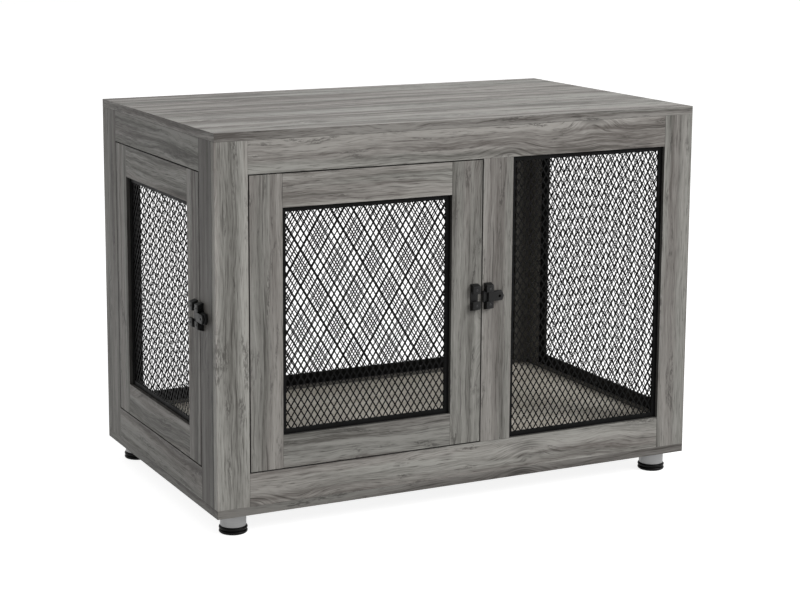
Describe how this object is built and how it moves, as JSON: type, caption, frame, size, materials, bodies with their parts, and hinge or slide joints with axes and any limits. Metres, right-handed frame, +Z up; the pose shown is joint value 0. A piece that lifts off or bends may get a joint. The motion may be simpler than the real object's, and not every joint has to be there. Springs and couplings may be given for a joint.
{
  "type": "pet crate",
  "caption": "Furniture-style pet crate with a wooden case, mesh windows, hinged mesh doors at the front and side, slide latches, a raised floor and levelling feet.",
  "frame": {"origin": "centre of the whole crate's bounding box, latches included, at the underside of the foot pads", "axes": "+X to the right seen from the front, along the longest side; +Y from the front to the rear; +Z up"},
  "size_m": [0.9614, 0.5796, 0.698],
  "materials": {
    "oak_laminate": "matt weathered grey-oak laminate",
    "bare_wood": "unfinished",
    "black_steel": "black powder coat",
    "satin_metal": "satin",
    "foot_plastic": "moulded black",
    "nylon": "moulded black"
  },
  "bodies": {
    "crate": {"top_board": "oak_laminate", "bottom_board": "oak_laminate", "floor_board": "oak_laminate", "floor_bearers": "bare_wood", "front_left_stile": "oak_laminate", "front_right_stile": "oak_laminate", "front_centre_stile": "oak_laminate", "front_top_rail": "oak_laminate", "front_bottom_rail": "oak_laminate", "rear_left_stile": "oak_laminate", "rear_right_stile": "oak_laminate", "rear_top_rail": "oak_laminate", "rear_bottom_rail": "oak_laminate", "left_front_stile": "oak_laminate", "left_rear_stile": "oak_laminate", "left_top_rail": "oak_laminate", "left_bottom_rail": "oak_laminate", "right_front_stile": "oak_laminate", "right_rear_stile": "oak_laminate", "right_top_rail": "oak_laminate", "right_bottom_rail": "oak_laminate", "front_window_panel": "black_steel", "rear_window_panel": "black_steel", "right_window_panel": "black_steel", "front_door_bushes": "nylon", "side_door_bushes": "nylon", "front_door_stop": "black_steel", "side_door_stop": "black_steel", "front_latch_body": "black_steel", "side_latch_body": "black_steel", "front_left_foot_tube": "satin_metal", "front_right_foot_tube": "satin_metal", "rear_left_foot_tube": "satin_metal", "rear_right_foot_tube": "satin_metal", "case_dowels": "bare_wood"},
    "front_door": {"front_door_hinge_stile": "oak_laminate", "front_door_latch_stile": "oak_laminate", "front_door_top_rail": "oak_laminate", "front_door_bottom_rail": "oak_laminate", "front_door_panel": "black_steel", "front_door_pins": "satin_metal", "front_door_dowels": "bare_wood", "front_latch_keeper": "black_steel"},
    "side_door": {"side_door_hinge_stile": "oak_laminate", "side_door_latch_stile": "oak_laminate", "side_door_top_rail": "oak_laminate", "side_door_bottom_rail": "oak_laminate", "side_door_panel": "black_steel", "side_door_pins": "satin_metal", "side_door_dowels": "bare_wood", "side_latch_keeper": "black_steel"},
    "front_bolt": {"front_latch_bolt": "black_steel", "front_latch_grip": "black_steel"},
    "side_bolt": {"side_latch_bolt": "black_steel", "side_latch_grip": "black_steel"},
    "front_left_pad": {"front_left_foot_pad": "foot_plastic"},
    "front_right_pad": {"front_right_foot_pad": "foot_plastic"},
    "rear_left_pad": {"rear_left_foot_pad": "foot_plastic"},
    "rear_right_pad": {"rear_right_foot_pad": "foot_plastic"}
  },
  "joints": [
    {"name": "front_door_hinge", "type": "hinge", "parent": "crate", "child": "front_door", "pos_m": [-0.37725, -0.27075, 0.368], "axis": [0, 0, -1], "range_deg": [0, 120]},
    {"name": "side_door_hinge", "type": "hinge", "parent": "crate", "child": "side_door", "pos_m": [-0.46175, 0.18675, 0.368], "axis": [0, 0, -1], "range_deg": [0, 120]},
    {"name": "front_latch_slide", "type": "slide", "parent": "crate", "child": "front_bolt", "axis": [-1, 0, 0], "range_m": [0, 0.016]},
    {"name": "side_latch_slide", "type": "slide", "parent": "crate", "child": "side_bolt", "axis": [0, 1, 0], "range_m": [0, 0.016]},
    {"name": "front_left_pad_turn", "type": "hinge", "parent": "crate", "child": "front_left_pad", "pos_m": [-0.42525, -0.23925, 0.02], "axis": [0, 0, 1], "continuous": true},
    {"name": "front_right_pad_turn", "type": "hinge", "parent": "crate", "child": "front_right_pad", "pos_m": [0.43675, -0.23925, 0.02], "axis": [0, 0, 1], "continuous": true},
    {"name": "rear_left_pad_turn", "type": "hinge", "parent": "crate", "child": "rear_left_pad", "pos_m": [-0.42525, 0.25075, 0.02], "axis": [0, 0, 1], "continuous": true},
    {"name": "rear_right_pad_turn", "type": "hinge", "parent": "crate", "child": "rear_right_pad", "pos_m": [0.43675, 0.25075, 0.02], "axis": [0, 0, 1], "continuous": true}
  ]
}
